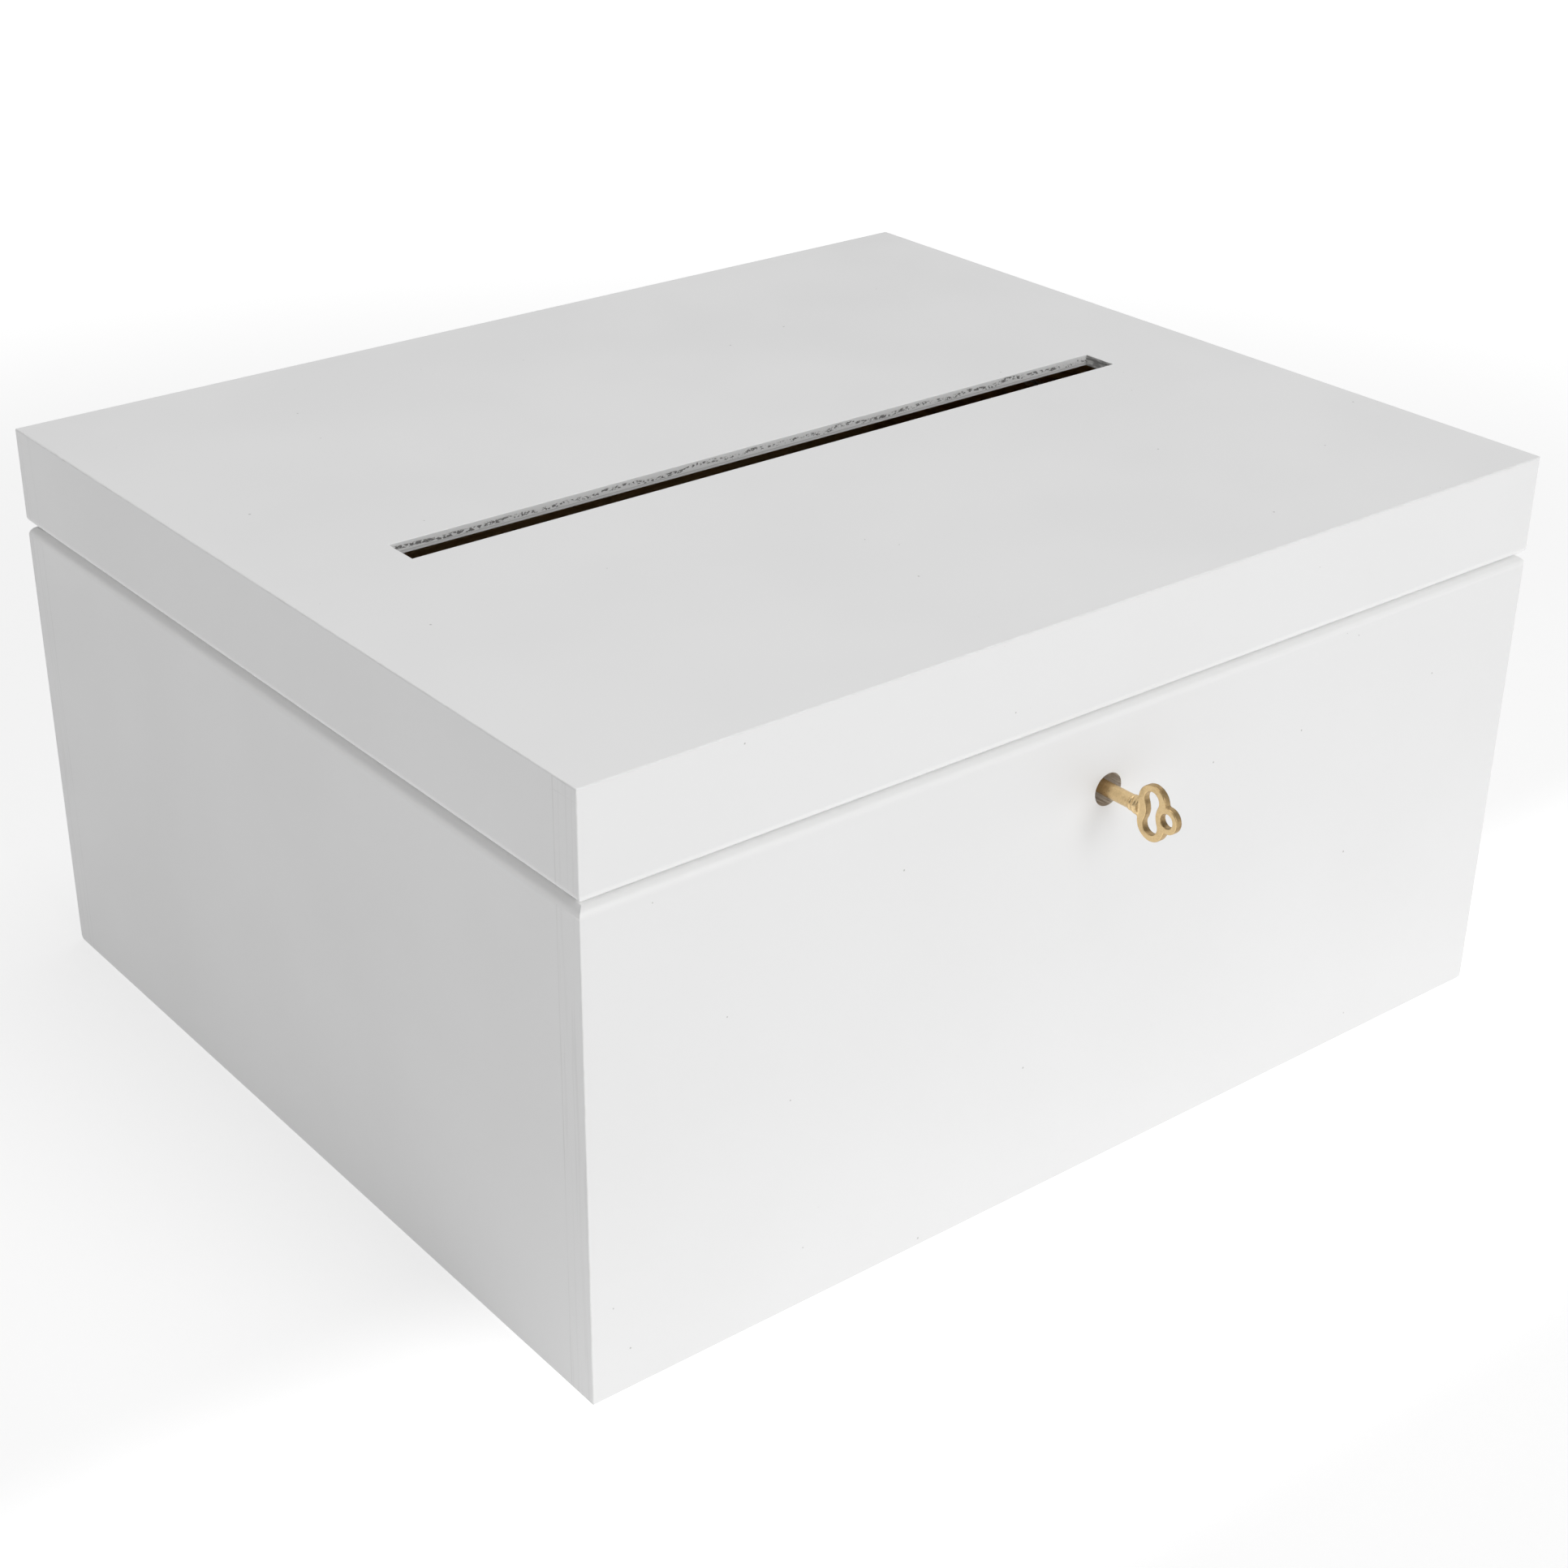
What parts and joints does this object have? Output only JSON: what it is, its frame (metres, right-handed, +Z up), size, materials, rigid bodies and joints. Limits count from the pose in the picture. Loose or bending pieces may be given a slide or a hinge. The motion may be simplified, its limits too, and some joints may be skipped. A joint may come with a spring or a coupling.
{
  "type": "wedding card box",
  "caption": "Low rectangular wooden box with a hinged lid, a long card slot in the lid, a round keyhole in the front and a key with a trefoil bow.",
  "frame": {"origin": "centre of the underside of the box, on the face it rests on", "axes": "+X to the right seen from the front, +Y to the back, where the hinges are, +Z up; the front with the keyhole faces -Y"},
  "size_m": [0.29, 0.275, 0.15],
  "materials": {
    "painted_wood": "white satin paint outside, bare wood inside",
    "hinge_metal": "brass plated, satin",
    "lock_metal": "brass plated, satin",
    "bolt_brass": "satin",
    "key_brass": "antique satin, worn",
    "steel": "zinc plated, satin",
    "screw_metal": "brass plated"
  },
  "bodies": {
    "box": {"base_front_board": "painted_wood", "base_back_board": "painted_wood", "base_left_board": "painted_wood", "base_right_board": "painted_wood", "base_bottom_panel": "painted_wood", "hinge_base_leaf_left": "hinge_metal", "hinge_base_leaf_right": "hinge_metal", "hinge_pin_left": "steel", "hinge_pin_right": "steel", "hinge_base_screws": "screw_metal", "lock_plate": "lock_metal", "lock_cover": "lock_metal", "lock_rivets": "steel", "lock_drill_pin": "steel", "lock_spring": "steel", "lock_screws": "screw_metal"},
    "lid": {"lid_front_rail": "painted_wood", "lid_back_rail": "painted_wood", "lid_left_rail": "painted_wood", "lid_right_rail": "painted_wood", "lid_top_panel": "painted_wood", "hinge_lid_leaf_left": "hinge_metal", "hinge_lid_leaf_right": "hinge_metal", "hinge_lid_screws": "screw_metal", "keeper_plate": "lock_metal", "keeper_screws": "screw_metal"},
    "rotor": {"lock_rotor": "steel"},
    "bolt": {"lock_bolt": "bolt_brass"},
    "key": {"key": "key_brass"}
  },
  "joints": [
    {"name": "lid_hinge", "type": "hinge", "parent": "box", "child": "lid", "pos_m": [0, 0.1253, 0.124], "axis": [-1, 0, 0], "range_deg": [0, 105]},
    {"name": "key_turn", "type": "hinge", "parent": "box", "child": "rotor", "pos_m": [0, -0.116, 0.1038], "axis": [0, 1, 0], "range_deg": [0, 90]},
    {"name": "bolt_slide", "type": "slide", "parent": "box", "child": "bolt", "axis": [1, 0, 0], "range_m": [0, 0.0065]},
    {"name": "key_withdraw", "type": "slide", "parent": "rotor", "child": "key", "axis": [0, -1, 0], "range_m": [0, 0.014]}
  ],
  "couplings": [
    {"joint": "key_turn", "follows": "bolt_slide", "rad_per_m": 241.66}
  ]
}
